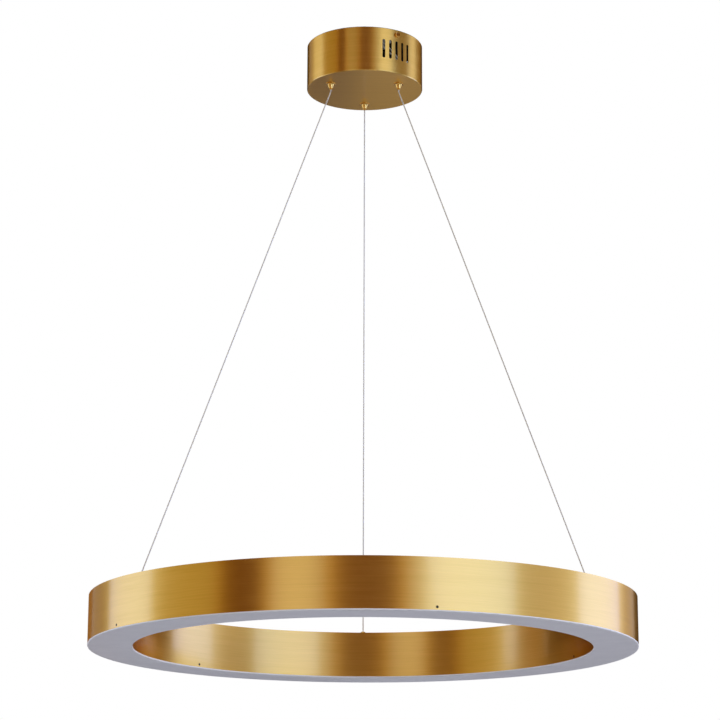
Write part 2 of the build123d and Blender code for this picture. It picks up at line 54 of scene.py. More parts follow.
def linear(hexColour):
    # an sRGB hex colour as the linear values that the shaders take
    channels = [int(hexColour[i:i + 2], 16) / 255 for i in (1, 3, 5)]
    return [c / 12.92 if c <= 0.04045 else ((c + 0.055) / 1.055) ** 2.4 for c in channels] + [1.0]


def addNode(tree, kind, inputs={}, **settings):
    # one shader node: settings are its own fields, and each input takes a value, a node or a socket
    node = tree.nodes.new("ShaderNode" + kind)
    for name, value in settings.items():
        setattr(node, name, value)
    for name, value in inputs.items():
        if isinstance(value, bpy.types.Node):
            value = value.outputs[0]
        if isinstance(value, bpy.types.NodeSocket):
            tree.links.new(value, node.inputs[name])
        else:
            node.inputs[name].default_value = value
    return node


def startMaterial(name):
    material = bpy.data.materials.new(name)
    material.use_nodes = True
    material.node_tree.nodes.clear()
    return material, material.node_tree


def finishMaterial(tree, shader):
    addNode(tree, "OutputMaterial", {"Surface": shader})


def shades(tree, factor, low, high):
    # a colour between two hex colours
    mix = addNode(tree, "Mix", {0: factor, 6: linear(low), 7: linear(high)}, data_type="RGBA")
    return mix.outputs[2]


noiseSpan = (0.3, 0.7)  # what most of a noise lies between


def between(tree, value, low, high):
    # spreads a noise from low to high
    return addNode(tree, "MapRange", {"Value": value, "From Min": noiseSpan[0], "From Max": noiseSpan[1],
                                      "To Min": low, "To Max": high})


def stretched(tree, size):
    # Object coordinates divided by a size in mm along x, y and z
    place = addNode(tree, "TexCoord").outputs["Object"]
    return addNode(tree, "VectorMath", {0: place, 1: [1 / (s * mm) for s in size]}, operation="MULTIPLY")


def noise(tree, size, detail=2.0):
    # noise whose grains have a size in mm along x, y and z
    return addNode(tree, "TexNoise", {"Vector": stretched(tree, size), "Scale": 1.0, "Detail": detail})


# The camera looks up at the lamp from the front: place in metres, angles in degrees, lens and sensor in mm.
view = {
    "place": (0.0, -3.5545, -1.402), "pitch": 14.247, "roll": 0.168, "lens": 122.05, "sensor": 36,
    "shift": -0.00537,
}
cameraData = bpy.data.cameras.new("camera")
cameraData.lens = view["lens"]
cameraData.sensor_width = view["sensor"]
cameraData.shift_x = view["shift"]
camera = bpy.data.objects.new("camera", cameraData)
bpy.context.scene.collection.objects.link(camera)
turn = Matrix.Rotation(radians(90 + view["pitch"]), 4, "X") @ Matrix.Rotation(radians(view["roll"]), 4, "Z")
camera.matrix_world = Matrix.Translation(view["place"]) @ turn
bpy.context.scene.camera = camera
bpy.context.scene.view_settings.view_transform = "Standard"

# The studio, in metres, with heights from the ceiling. A softbox or card stands upright and faces the lamp:
# its azimuth in degrees from the front towards the right, its distance and width, its bottom and top edges,
# its radiance and its colour.
studio = {
    "skyLight": 0.58,  # how strongly the white surroundings light the lamp, against how they look
    "floorHeight": -2.5, "floorSize": 60.0, "floorGrain": 0.4,
    "floorDark": "#EFEFEE", "floorLight": "#F2F2F1", "floorBounce": "#ADAEB6",
    "softboxes": [
        (42, 4.1, 2.8, -2.4, 1.2, 1.6, "#FFFFFF"),
        (108, 2.25, 1.0, -2.2, 0.9, 1.6, "#FFFFFF"),
        (-103, 1.65, 0.6, -2.2, 0.7, 1.6, "#FFFFFF"),
    ],
    "cards": [
        # the softboxes' fronts
        (42.5, 4.0, 2.7, -2.4, 0.85, 3.8, "#ACC4FF"),
        (106.5, 2.24, 1.25, -2.2, 0.6, 4.3, "#9EB2FA"),
        (-101, 1.63, 0.9, -2.2, 0.45, 2.7, "#B4C6FA"),
        # dark felt strips in front and to the left, each on a wider gold card that edges it
        (1.2, 3.4, 1.42, -2.4, 4.5, 1.0, "#733F10"),
        (1.2, 3.5, 2.0, -2.4, 4.5, 1.0, "#E0AC54"),
        (-46.2, 2.35, 0.7, -2.4, 3.5, 1.0, "#6B3A14"),
        (-45.8, 2.45, 0.98, -2.4, 3.5, 1.0, "#E0AC54"),
        # paper between that strip and the left softbox
        (-74, 3.0, 2.0, -2.4, 0.6, 1.0, "#D0BF80"),
        (-74, 2.95, 2.0, 0.6, 4.5, 1.0, "#A98844"),
        # behind the lamp, which the walls' far ends and the canopy's underside reflect
        (180, 3.0, 1.5, -1.38, 3.0, 1.0, "#7A767E"),
        (180, 2.9, 5.0, -2.4, -1.38, 1.0, "#F0F0FC"),
        (-134, 3.2, 1.3, -1.3, 3.0, 1.0, "#B4A894"),
        (138, 3.1, 0.9, -1.3, 0.6, 1.0, "#D0CCC8"),
        (-157, 3.0, 1.2, -1.3, 3.0, 1.0, "#2E2014"),
        (156, 3.0, 1.1, -1.3, 3.0, 1.0, "#4A3622"),
        # close behind the ring, which the inner wall's ends reflect
        (-122.9, 0.558, 0.25, -1.1, -0.45, 1.0, "#9A6C34"),
        (-154.8, 0.69, 0.62, -1.1, -0.45, 1.0, "#3E2812"),
        (152.1, 0.764, 0.4, -1.1, -0.45, 1.0, "#6A4E38"),
        # high up, which the canopy reflects
        (79.5, 3.0, 2.6, 0.55, 4.5, 1.0, "#6E4A22"),
        (134, 3.0, 1.5, 0.6, 4.5, 1.0, "#8E6A3A"),
        (22, 3.0, 1.0, 0.8, 4.5, 1.0, "#8A6430"),
        (-27, 3.0, 1.5, 0.6, 4.5, 1.0, "#7E5620"),
        # white paper, low between the felt strips
        (-26, 3.0, 0.8, -2.4, 0.5, 1.1, "#FFFFFF"),
        # pale paper beyond the softboxes, which shows above them
        (44, 3.4, 1.8, 0.9, 4.5, 1.0, "#EEDDB8"),
        (-112, 3.4, 2.2, 0.5, 4.5, 1.0, "#EAD6A6"),
        (116, 3.4, 1.6, 0.6, 4.5, 1.0, "#EAD6A6"),
    ],
    # a white sheet lying just over the floor, in front of the lamp
    "sheetWidth": 2.0, "sheetDepth": 0.9, "sheetMiddle": -1.2, "sheetHeight": -2.49, "sheetRadiance": 1.75,
    # the patch of ceiling that the canopy covers, painted dark as the shade inside the canopy
    "patchRadius": 0.0885, "patchHeight": 0.0003, "patchShade": "#3A3632", "patchSides": 48,
}


def seenOnlyIn(obj, *rays):
    for ray in ("camera", "diffuse", "glossy", "transmission", "volume_scatter", "shadow"):
        setattr(obj, "visible_" + ray, ray in rays)


def addStage(name, mesh, material):
    obj = bpy.data.objects.new(name, mesh)
    obj.data.materials.append(material)
    bpy.context.scene.collection.objects.link(obj)
    return obj


def panelPlace(azimuth, distance, bottom, top):
    # stands a panel up at its place, turned to the lamp
    angle = radians(azimuth)
    centre = Vector((distance * sin(angle), -distance * cos(angle), (bottom + top) / 2))
    return Matrix.Translation(centre) @ Matrix.Rotation(angle, 4, "Z") @ Matrix.Rotation(radians(90), 4, "X")


def meshFrom(bm, name):
    mesh = bpy.data.meshes.new(name)
    bm.to_mesh(mesh)
    bm.free()
    return mesh


def sheetMesh(name, width, height):
    # a flat sheet about the origin
    bm = bmesh.new()
    bmesh.ops.create_grid(bm, x_segments=1, y_segments=1, size=0.5)
    bmesh.ops.scale(bm, vec=(width, height, 1), verts=bm.verts)
    return meshFrom(bm, name)


def buildWorld():
    # white where the camera, a gloss or a clear piece looks past the lamp, and softer as light
    world = bpy.data.worlds.new("studio white")
    bpy.context.scene.world = world
    world.use_nodes = True
    tree = world.node_tree
    tree.nodes.clear()
    rays = addNode(tree, "LightPath")
    seen = addNode(tree, "Math", {0: rays.outputs["Is Camera Ray"], 1: rays.outputs["Is Glossy Ray"]},
                   operation="MAXIMUM")
    seen = addNode(tree, "Math", {0: seen, 1: rays.outputs["Is Transmission Ray"]}, operation="MAXIMUM")
    strength = addNode(tree, "MapRange", {"Value": seen, "To Min": studio["skyLight"], "To Max": 1.0})
    light = addNode(tree, "Background", {"Color": (1, 1, 1, 1), "Strength": strength})
    addNode(tree, "OutputWorld", {"Surface": light})


def buildFloor():
    # a pale painted floor, which only shows from above, so that a low camera looks through it
    material, tree = startMaterial("pale matt floor paint")
    rays = addNode(tree, "LightPath")
    grain = noise(tree, [studio["floorGrain"] / mm] * 3, 3)
    seenColour = shades(tree, between(tree, grain, 0, 1), studio["floorDark"], studio["floorLight"])
    colour = addNode(tree, "Mix", {0: rays.outputs["Is Camera Ray"], 6: linear(studio["floorBounce"]),
                                   7: seenColour}, data_type="RGBA").outputs[2]
    paint = addNode(tree, "BsdfDiffuse", {"Color": colour})
    below = addNode(tree, "NewGeometry").outputs["Backfacing"]
    clear = addNode(tree, "BsdfTransparent")
    finishMaterial(tree, addNode(tree, "MixShader", {0: below, 1: paint, 2: clear}))
    mesh = sheetMesh("floor", studio["floorSize"], studio["floorSize"])
    mesh.transform(Matrix.Translation((0, 0, studio["floorHeight"])))
    addStage("floor", mesh, material)


def buildSoftboxes():
    # they light the lamp, and metal reflects the cards in their place
    for number, (azimuth, distance, width, bottom, top, radiance, colour) in enumerate(studio["softboxes"]):
        light = bpy.data.lights.new(f"softbox{number}", "AREA")
        light.shape = "RECTANGLE"
        light.size, light.size_y = width, top - bottom
        light.energy = radiance * pi * light.size * light.size_y
        light.color = linear(colour)[:3]
        obj = bpy.data.objects.new(f"softbox{number}", light)
        bpy.context.scene.collection.objects.link(obj)
        obj.matrix_world = panelPlace(azimuth, distance, bottom, top)
        obj.visible_camera = obj.visible_glossy = False


def buildCards():
    # What the metal reflects round the lamp: the softboxes' cool fronts, and felt and paper cards that give
    # it its darker bands. Only gloss sees them, and only their backs, which are towards the lamp.
    for number, (azimuth, distance, width, bottom, top, radiance, colour) in enumerate(studio["cards"]):
        material, tree = startMaterial(f"studio card {number}")
        paper = addNode(tree, "Emission", {"Color": linear(colour), "Strength": radiance})
        back = addNode(tree, "NewGeometry").outputs["Backfacing"]
        clear = addNode(tree, "BsdfTransparent")
        finishMaterial(tree, addNode(tree, "MixShader", {0: back, 1: clear, 2: paper}))
        mesh = sheetMesh(f"card{number}", width, top - bottom)
        mesh.transform(panelPlace(azimuth, distance, bottom, top))
        seenOnlyIn(addStage(f"card{number}", mesh, material), "glossy")


def buildReflector():
    # the white sheet shows in the gloss of the surfaces that face down
    material, tree = startMaterial("white reflector sheet")
    finishMaterial(tree, addNode(tree, "Emission", {"Strength": studio["sheetRadiance"]}))
    mesh = sheetMesh("reflector", studio["sheetWidth"], studio["sheetDepth"])
    mesh.transform(Matrix.Translation((0, studio["sheetMiddle"], studio["sheetHeight"])))
    seenOnlyIn(addStage("reflector", mesh, material), "glossy")


def buildCeiling():
    # Only the camera sees this patch, and only from below, through the vents; it is painted dark, as the
    # shade inside the canopy. So the canopy is closed there, and can still be looked into from above.
    material, tree = startMaterial("ceiling patch in painted shade")
    rays = addNode(tree, "LightPath")
    above = addNode(tree, "NewGeometry").outputs["Backfacing"]
    below = addNode(tree, "Math", {0: 1.0, 1: above}, operation="SUBTRACT")
    seen = addNode(tree, "Math", {0: rays.outputs["Is Camera Ray"], 1: below}, operation="MULTIPLY")
    clear = addNode(tree, "BsdfTransparent")
    # painted shade: a dark plaster colour that stands in for the shade under the canopy
    plasterInShade = addNode(tree, "BsdfDiffuse", {"Color": linear(studio["patchShade"])})
    finishMaterial(tree, addNode(tree, "MixShader", {0: seen, 1: clear, 2: plasterInShade}))
    bm = bmesh.new()
    bmesh.ops.create_circle(bm, cap_ends=True, segments=studio["patchSides"], radius=studio["patchRadius"])
    bmesh.ops.reverse_faces(bm, faces=bm.faces)
    bmesh.ops.translate(bm, vec=(0, 0, studio["patchHeight"]), verts=bm.verts)
    addStage("ceilingPatch", meshFrom(bm, "ceilingPatch"), material)


buildWorld()
buildFloor()
buildSoftboxes()
buildCards()
buildReflector()
buildCeiling()
print("studio ready")

# Brushed brass: its lines and the broader bands under them, in mm, and the canopy's painted shade, a dark
# coat inside it that stands in for its shade, which starts inside a radius and above a height.
brass = {
    "lineDark": "#D2A84D", "lineLight": "#DEB359", "linePitch": 1.3, "lineLength": 60.0,
    "bandPitch": 7.0, "bandLength": 300.0, "lineShare": 0.7, "bandShare": 0.3, "lineBreak": 0.6,
    "lineStrength": 0.05, "lineDepth": 0.1, "roughness": (0.32, 0.37), "anisotropy": 0.85, "turn": 0.25,
    "edge": "#E6BE80", "lacquer": 0.8, "lacquerRoughness": 0.15, "lacquerIor": 1.5,
    "levelFrom": 0.9,  # the upright part of the normal past which a face counts as level
    "rolledFrom": 0.95,  # how straight in or out a face looks before it counts as rolled
    "paintedShadeDark": "#1B1917", "paintedShadeLight": "#2A2724", "paintedShadeGrain": 1.5, "paintedShadeRoughness": (0.5, 0.62),
    "insideRadius": 88.4, "insideFloor": -69.4,
}


def rolledNormal(tree):
    # The walls are rolled round the lamp's axis, so their reflections run on without a break: where the
    # surface faces straight in or out, its normal is the true cylinder's, and elsewhere it is the mesh's own.
    place = addNode(tree, "TexCoord")
    own = place.outputs["Normal"]
    spot = addNode(tree, "SeparateXYZ", {0: place.outputs["Object"]})
    parts = addNode(tree, "SeparateXYZ", {0: own})
    flat = addNode(tree, "CombineXYZ", {0: spot.outputs[0], 1: spot.outputs[1]})
    out = addNode(tree, "VectorMath", {0: flat}, operation="NORMALIZE")
    lying = addNode(tree, "CombineXYZ", {0: parts.outputs[0], 1: parts.outputs[1]})
    lean = addNode(tree, "VectorMath", {0: lying}, operation="LENGTH").outputs["Value"]
    facing = addNode(tree, "VectorMath", {0: out, 1: own}, operation="DOT_PRODUCT").outputs["Value"]
    size = addNode(tree, "Math", {0: addNode(tree, "Math", {0: facing}, operation="SIGN"), 1: lean},
                   operation="MULTIPLY")
    rolled = addNode(tree, "VectorMath", {
        0: addNode(tree, "VectorMath", {0: out, "Scale": size}, operation="SCALE").outputs["Vector"],
        1: addNode(tree, "CombineXYZ", {2: parts.outputs[2]})}, operation="ADD").outputs["Vector"]
    squarely = addNode(tree, "Math", {0: facing}, operation="ABSOLUTE")
    least = addNode(tree, "Math", {0: lean, 1: brass["rolledFrom"]}, operation="MULTIPLY")
    straight = addNode(tree, "Math", {0: squarely, 1: least}, operation="GREATER_THAN")
    chosen = addNode(tree, "Mix", {0: straight, 4: own, 5: rolled}, data_type="VECTOR").outputs[1]
    return addNode(tree, "VectorTransform", {0: chosen}, vector_type="NORMAL", convert_from="OBJECT",
                   convert_to="WORLD")


def brushedBrass(name, paintedShadeInside):
    # Rolled sheet, brass plated, brushed and lacquered: fine lines run round the walls and straight across
    # the level faces, and draw every highlight out across them. Real lines are 0.2 mm apart, and are drawn at
    # 1.3 mm so that they show. The canopy's inside is painted dark, as its shade, in place of the plated
    # metal.
    material, tree = startMaterial(name)
    place = addNode(tree, "TexCoord").outputs["Object"]
    xyz = addNode(tree, "SeparateXYZ", {0: place})
    normal = addNode(tree, "SeparateXYZ", {0: addNode(tree, "NewGeometry").outputs["Normal"]})
    upright = addNode(tree, "Math", {0: normal.outputs[2]}, operation="ABSOLUTE")
    level = addNode(tree, "Math", {0: upright, 1: brass["levelFrom"]}, operation="GREATER_THAN")
    across = addNode(tree, "Mix", {0: level, 2: xyz.outputs[2], 3: xyz.outputs[1]}, data_type="FLOAT")
    along = addNode(tree, "Mix", {0: level, 2: xyz.outputs[1], 3: xyz.outputs[2]}, data_type="FLOAT")
    sheet = addNode(tree, "CombineXYZ", {0: xyz.outputs[0], 1: along, 2: across})

    def lines(length, pitch, detail):
        size = [1 / (s * mm) for s in (length, length, pitch)]
        vector = addNode(tree, "VectorMath", {0: sheet, 1: size}, operation="MULTIPLY")
        return addNode(tree, "TexNoise", {"Vector": vector, "Scale": 1.0, "Detail": detail,
                                          "Roughness": brass["lineBreak"]})

    fine = lines(brass["lineLength"], brass["linePitch"], 2.0)
    broad = lines(brass["bandLength"], brass["bandPitch"], 1.0)
    bands = addNode(tree, "Math", {0: broad, 1: brass["bandShare"]}, operation="MULTIPLY")
    both = addNode(tree, "Math", {0: fine, 1: brass["lineShare"], 2: bands}, operation="MULTIPLY_ADD")
    colour = shades(tree, between(tree, both, 0, 1), brass["lineDark"], brass["lineLight"])
    rough = between(tree, fine, *brass["roughness"])
    bump = addNode(tree, "Bump", {"Strength": brass["lineStrength"], "Distance": brass["lineDepth"] * mm,
                                  "Height": fine, "Normal": rolledNormal(tree)})
    around = addNode(tree, "Tangent", direction_type="RADIAL", axis="Z")
    brushed = addNode(tree, "Mix", {0: level, 4: around, 5: (1, 0, 0)}, data_type="VECTOR").outputs[1]
    plated = addNode(tree, "BsdfPrincipled", {
        "Base Color": colour, "Metallic": 1.0, "Roughness": rough, "Normal": bump, "Tangent": brushed,
        "Anisotropic": brass["anisotropy"], "Anisotropic Rotation": brass["turn"],
        "Specular Tint": linear(brass["edge"]), "Coat Weight": brass["lacquer"],
        "Coat IOR": brass["lacquerIor"], "Coat Roughness": brass["lacquerRoughness"]})
    if not paintedShadeInside:
        finishMaterial(tree, plated)
        return material
    # painted shade: inside the canopy the plated metal gives way to a dark coat that stands in for its shade
    flat = addNode(tree, "CombineXYZ", {0: xyz.outputs[0], 1: xyz.outputs[1]})
    radius = addNode(tree, "VectorMath", {0: flat}, operation="LENGTH").outputs["Value"]
    within = addNode(tree, "Math", {0: radius, 1: brass["insideRadius"] * mm}, operation="LESS_THAN")
    over = addNode(tree, "Math", {0: xyz.outputs[2], 1: brass["insideFloor"] * mm}, operation="GREATER_THAN")
    inside = addNode(tree, "Math", {0: within, 1: over}, operation="MULTIPLY")
    grain = noise(tree, [brass["paintedShadeGrain"]] * 3, 3)
    shadeCoat = addNode(tree, "BsdfPrincipled", {
        "Base Color": shades(tree, between(tree, grain, 0, 1), brass["paintedShadeDark"], brass["paintedShadeLight"]),
        "Roughness": between(tree, grain, *brass["paintedShadeRoughness"])})
    finishMaterial(tree, addNode(tree, "MixShader", {0: inside, 1: plated, 2: shadeCoat}))
    return material


# Turned brass, polished and gold plated, with grain sizes and depths in mm
polish = {
    "dark": "#D9A94E", "light": "#E8BD68", "mottle": (3, 3, 3), "rings": (8, 8, 0.35), "ringStrength": 0.05,
    "ringDepth": 0.05, "roughness": (0.14, 0.22),
}


def polishedBrass():
    # smooth, bright and deep yellow, with the lathe's faint rings
    material, tree = startMaterial("polished gold plated brass")
    rings = noise(tree, polish["rings"])
    mottle = noise(tree, polish["mottle"])
    bump = addNode(tree, "Bump", {"Strength": polish["ringStrength"], "Distance": polish["ringDepth"] * mm,
                                  "Height": rings})
    finishMaterial(tree, addNode(tree, "BsdfPrincipled", {
        "Base Color": shades(tree, between(tree, mottle, 0, 1), polish["dark"], polish["light"]),
        "Metallic": 1.0, "Roughness": between(tree, rings, *polish["roughness"]), "Normal": bump}))
    return material


# PVC insulation in green with a yellow stripe. The texture's waves are 0.63 of its size apart, so 40 mm gives
# a stripe every 25 mm along an axis, and the edges set how wide and how sharp it is.
earthPvc = {
    "green": "#3E8A3A", "yellow": "#E2CF3C", "wave": 40.0, "wander": 0.4, "edges": (-4, 5),
    "grain": (3, 3, 3), "roughness": (0.35, 0.45),
}


def earthLead():
    # smooth and slightly soft, so that its highlights are broad
    material, tree = startMaterial("green and yellow PVC insulation")
    place = addNode(tree, "TexCoord").outputs["Object"]
    stripe = addNode(tree, "TexWave", {"Vector": place, "Scale": 1 / (earthPvc["wave"] * mm),
                                       "Distortion": earthPvc["wander"]}, bands_direction="DIAGONAL")
    share = between(tree, stripe.outputs["Fac"], *earthPvc["edges"])
    finishMaterial(tree, addNode(tree, "BsdfPrincipled", {
        "Base Color": shades(tree, share, earthPvc["green"], earthPvc["yellow"]),
        "Roughness": between(tree, noise(tree, earthPvc["grain"]), *earthPvc["roughness"])}))
    return material


# The other finishes only vary a little. Each has its name, two shades, its grain in mm along x, y and z, how
# metallic it is, and its spread of roughness. The diffuser is smoother than the rest, with a weaker relief.
plainFinishes = {
    "zinc_steel": ("zinc plated steel", "#B4B6BA", "#C9CBCE", (4, 4, 4), 1.0, (0.28, 0.4)),
    "tinned_copper": ("tinned copper", "#BDBBB4", "#CFCDC6", (2, 2, 2), 1.0, (0.3, 0.42)),
    "black_steel": ("blackened steel", "#221C18", "#352C25", (1, 1, 1), 1.0, (0.4, 0.5)),
    "jacketed_wire": (
        "steel strand in clear jacket", "#D2CFC8", "#E2DFD8", (1, 1, 0.8), 0.3, (0.3, 0.4)),
    "crimp_aluminium": ("crimped aluminium", "#B5B6B8", "#CBCCCE", (2, 2, 2), 1.0, (0.35, 0.5)),
    "white_lead": ("white silicone insulation", "#E4E3DD", "#EFEEEA", (3, 3, 3), 0.0, (0.42, 0.5)),
    "white_plastic": (
        "moulded white polycarbonate", "#E8E8E5", "#EEEEEC", (0.8, 0.8, 0.8), 0.0, (0.4, 0.5)),
    "block_nylon": ("natural nylon", "#E3DFD3", "#ECE9DF", (1, 1, 1), 0.0, (0.4, 0.5)),
    "foam_tape": ("double sided foam tape", "#3A3A3C", "#4B4B4D", (0.5, 0.5, 0.5), 0.0, (0.8, 0.9)),
    "tray_aluminium": ("mill finish aluminium", "#C2C3C5", "#D0D1D3", (60, 60, 1), 1.0, (0.35, 0.45)),
    "strip_laminate": ("white solder mask laminate", "#EDEDE8", "#F3F3EF", (2, 2, 2), 0.0, (0.35, 0.4)),
    "led_phosphor": ("yellow LED phosphor", "#E5C23E", "#EFD055", (0.4, 0.4, 0.4), 0.0, (0.3, 0.4)),
    "opal_acrylic": ("satin opal acrylic", "#E2E2E9", "#E8E8EE", (30, 30, 30), 0.0, (0.5, 0.56), 0.02),
}
plainRelief = 0.05  # in mm, at full strength


def plainFinish(name, dark, light, grain, metallic, roughness, bump=0.1):
    material, tree = startMaterial(name)
    grains = noise(tree, grain, 3)
    relief = addNode(tree, "Bump", {"Strength": bump, "Distance": plainRelief * mm, "Height": grains})
    finishMaterial(tree, addNode(tree, "BsdfPrincipled", {
        "Base Color": shades(tree, between(tree, grains, 0, 1), dark, light), "Metallic": metallic,
        "Roughness": between(tree, grains, *roughness), "Normal": relief}))
    return material


finishes = {
    "brushed_brass": brushedBrass("brushed lacquered brass", False),
    "polished_brass": polishedBrass(),
    "earth_lead": earthLead(),
}
for slot, facts in plainFinishes.items():
    finishes[slot] = plainFinish(*facts)
# the canopy's inside takes painted shade, a dark coat where the metal is only unlit
ownFinish = {"canopy_cover": brushedBrass("brushed lacquered brass with painted shade inside", True)}
slotOf = {part["node"]: part["material_slot"] for part in frame["record"]["subparts"]}
for name, obj in cadNodes.items():
    finish = ownFinish.get(name) or finishes[slotOf[name]]
    if not obj.material_slots:
        obj.data.materials.append(finish)
    for place in obj.material_slots:
        place.material = finish
print("finishes on")


def addPiece(name, bm, body, slot, nodes, crease=35):
    # a mesh in mm on the lamp's own axes becomes a piece, which rides on a body and stands for CAD nodes
    bmesh.ops.recalc_face_normals(bm, faces=bm.faces)
    bmesh.ops.scale(bm, vec=(mm, mm, mm), verts=bm.verts)
    mesh = meshFrom(bm, name)
    mesh.shade_smooth()
    mesh.set_sharp_from_angle(angle=radians(crease))
    obj = bpy.data.objects.new(name, mesh)
    obj.data.materials.append(finishes[slot])
    bpy.context.scene.collection.objects.link(obj)
    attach(obj, body)
    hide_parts(*nodes)
    return obj


def drawOut(bm, edges, profile, change=None):
    # draws a round loop about Z through radii and heights, and gives the last loop's edges. A change is a
    # function that adds to the radius by the angle about Z.
    for radius, height in profile:
        grown = bmesh.ops.extrude_edge_only(bm, edges=edges)["geom"]
        edges = [item for item in grown if isinstance(item, bmesh.types.BMEdge)]
        for vertex in (item for item in grown if isinstance(item, bmesh.types.BMVert)):
            flat = vertex.co.xy.normalized()
            size = radius + (change(flat.angle_signed(Vector((1, 0)))) if change else 0)
            vertex.co = (flat.x * size, flat.y * size, height)
    return edges


# A thread's wedge: how far it is sunk into the core in mm, half its width as a share of the pitch, and its
# segments in a turn.
thread = {"sunk": 0.05, "half": 0.45, "segments": 16}


def addThread(bm, radius, depth, pitch, low, high):
    # the ridge of a screw thread, a wedge spun and raised round the core
    root, half = radius - depth - thread["sunk"], thread["half"] * pitch
    wedge = [(root, -half), (radius, 0), (root, half)]
    corners = [bm.verts.new((out, 0, low + pitch / 2 + rise)) for out, rise in wedge]
    face = bm.faces.new(corners)
    turns = (high - low) / pitch - 1
    steps = round(turns * thread["segments"])
    bmesh.ops.spin(bm, geom=[face, *face.edges, *corners], cent=(0, 0, 0), axis=(0, 0, 1),
                   dvec=(0, 0, turns * pitch / steps), angle=2 * pi * turns, steps=steps)


def placeAlong(bm, verts, direction, origin):
    # lays what was made about Z along a direction, from an origin
    turn = Vector(direction).to_track_quat("Z", "Y").to_matrix().to_4x4()
    bmesh.ops.transform(bm, matrix=Matrix.Translation(origin) @ turn, verts=verts)


def fromAxis(azimuth, radius, height):
    # a point round the lamp, by its azimuth from the front towards the right
    angle = radians(azimuth)
    return Vector((radius * sin(angle), -radius * cos(angle), height))


# The thumb screws have a straight knurl on a flat, slightly dished head, and a rolled M4 thread. In mm: the
# head's face stands at a radius from the lamp's axis, and all lengths run inwards from it.
thumbScrew = {
    "azimuths": {"front": 33.0, "back": 213.0}, "faceRadius": 93.0, "level": -8.4,
    "headLength": 4.0, "headRadius": 4.0, "teeth": 36, "toothDepth": 0.22, "bevel": 0.4, "dish": 0.18,
    "dishShare": 0.4, "length": 16.0, "neck": 1.6, "tip": 0.4, "threadRadius": 2.0, "threadDepth": 0.36,
    "pitch": 0.7,
}


def knurl(angle):
    # how far the head's side is cut in at an angle
    share = angle * thumbScrew["teeth"] / (2 * pi) % 1
    return -thumbScrew["toothDepth"] * abs(2 * share - 1)


def buildThumbScrew(side, azimuth):
    rim, bevel, dish, tip = (thumbScrew[key] for key in ("headRadius", "bevel", "dish", "tip"))
    seat, end = -thumbScrew["headLength"], -thumbScrew["length"]
    core = thumbScrew["threadRadius"] - thumbScrew["threadDepth"]
    bm = bmesh.new()
    bmesh.ops.create_circle(bm, cap_ends=True, segments=4 * thumbScrew["teeth"],
                            radius=thumbScrew["dishShare"] * rim)
    bmesh.ops.translate(bm, vec=(0, 0, -dish), verts=bm.verts)
    # out over the dish and the rim's softened corner, back along the knurled side, and in to the shank
    loop = drawOut(bm, bm.edges[:], [
        (rim - 2.6 * bevel, -dish), (rim - 2 * bevel, 0), (rim - bevel, -0.1 * bevel)])
    loop = drawOut(bm, loop, [(rim, -bevel), (rim, seat + bevel)], knurl)
    loop = drawOut(bm, loop, [
        (rim - bevel, seat + 0.1 * bevel), (rim - 2 * bevel, seat), (core, seat), (core, end + tip),
        (core - tip, end)])
    bmesh.ops.edgeloop_fill(bm, edges=loop)
    addThread(bm, thumbScrew["threadRadius"], thumbScrew["threadDepth"], thumbScrew["pitch"],
              end + tip, seat - thumbScrew["neck"])
    placeAlong(bm, bm.verts, fromAxis(azimuth, 1, 0),
               fromAxis(azimuth, thumbScrew["faceRadius"], thumbScrew["level"]))
    addPiece(f"thumbScrew_{side}", bm, f"thumb_{side}", "polished_brass", [f"thumb_screw_{side}"])


for side, azimuth in thumbScrew["azimuths"].items():
    buildThumbScrew(side, azimuth)

# Small countersunk screws with a cross recess hold the diffuser's lips, five outside and three inside. In mm,
# apart from the azimuth of each row's first screw and the shares that narrow the tip and the recess's floor.
crossScrew = {
    "headRadius": 1.9, "headDepth": 0.8, "headSegments": 24, "edge": 0.06, "radius": 1.0, "threadDepth": 0.22,
    "pitch": 0.6, "length": 5.0, "tip": 0.6, "tipShare": 0.3, "arm": 1.1, "halfSlot": 0.26, "recess": 0.6,
    "taper": 0.7, "level": -930.0,
    "outer": {"count": 5, "first": 14.0, "radius": 400.0, "facing": 1},
    "inner": {"count": 3, "first": -11.0, "radius": 335.0, "facing": -1},
}


